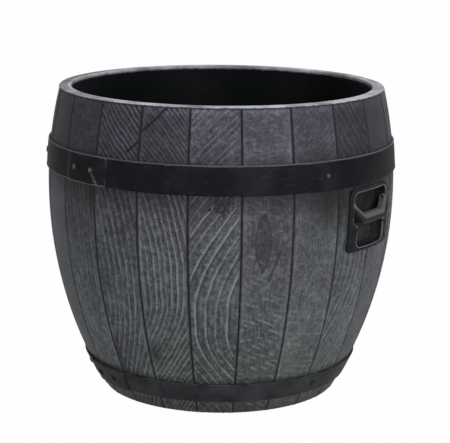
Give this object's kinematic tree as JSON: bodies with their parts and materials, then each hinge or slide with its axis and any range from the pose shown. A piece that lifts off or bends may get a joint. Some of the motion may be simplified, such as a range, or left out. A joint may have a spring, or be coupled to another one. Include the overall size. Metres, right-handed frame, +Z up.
{
  "type": "barrel planter",
  "caption": "Bulging wooden barrel planter of bowed staves and riveted iron hoops, with a hanging liner, a jointed head and drop handles in finger cups.",
  "frame": {"origin": "middle of the footprint, on the ground", "axes": "+Z up, +X out through the middle of the right handle, +Y to the right seen from that handle's front"},
  "size_m": [0.517, 0.5087, 0.44],
  "materials": {
    "stave_wood": "wire-brushed grey-black stain, raised grain rubbed pale",
    "head_wood": "weathered oak, unfinished",
    "dowel_wood": "plain turned beech",
    "hoop_iron": "black paint, satin, rubbed at the edges",
    "rivet_iron": "black paint, rubbed on the domes",
    "nail_iron": "black paint, rubbed on the heads",
    "handle_iron": "black paint over a fine cast grain",
    "bail_iron": "black paint over a fine cast grain, rubbed pale on top",
    "pin_steel": "dark oiled steel",
    "screw_steel": "black paint, slot rubbed",
    "liner_plastic": "moulded black plastic, dusty grey on the flange"
  },
  "bodies": {
    "barrel": {"stave_01": "stave_wood", "stave_02": "stave_wood", "stave_03": "stave_wood", "stave_04": "stave_wood", "stave_05": "stave_wood", "stave_06": "stave_wood", "stave_07": "stave_wood", "stave_08": "stave_wood", "stave_09": "stave_wood", "stave_10": "stave_wood", "stave_11": "stave_wood", "stave_12": "stave_wood", "stave_13": "stave_wood", "stave_14": "stave_wood", "stave_15": "stave_wood", "stave_16": "stave_wood", "stave_17": "stave_wood", "stave_18": "stave_wood", "stave_19": "stave_wood", "stave_20": "stave_wood", "stave_21": "stave_wood", "stave_22": "stave_wood", "upper_hoop": "hoop_iron", "upper_hoop_rivets": "rivet_iron", "upper_hoop_nails": "nail_iron", "lower_hoop": "hoop_iron", "lower_hoop_rivets": "rivet_iron", "lower_hoop_nails": "nail_iron", "head_board_1": "head_wood", "head_board_2": "head_wood", "head_board_3": "head_wood", "head_board_4": "head_wood", "head_board_5": "head_wood", "head_dowels": "dowel_wood", "liner": "liner_plastic", "right_handle_plate": "handle_iron", "right_handle_pins": "pin_steel", "right_handle_screws": "screw_steel", "left_handle_plate": "handle_iron", "left_handle_pins": "pin_steel", "left_handle_screws": "screw_steel"},
    "right_bail": {"right_handle_bail": "bail_iron"},
    "left_bail": {"left_handle_bail": "bail_iron"}
  },
  "joints": [
    {"name": "right_bail_swing", "type": "hinge", "parent": "barrel", "child": "right_bail", "pos_m": [0.24622, 0, 0.298], "axis": [0, -1, 0], "range_deg": [0, 108]},
    {"name": "left_bail_swing", "type": "hinge", "parent": "barrel", "child": "left_bail", "pos_m": [-0.24622, 0, 0.298], "axis": [0, 1, 0], "range_deg": [0, 108]}
  ]
}
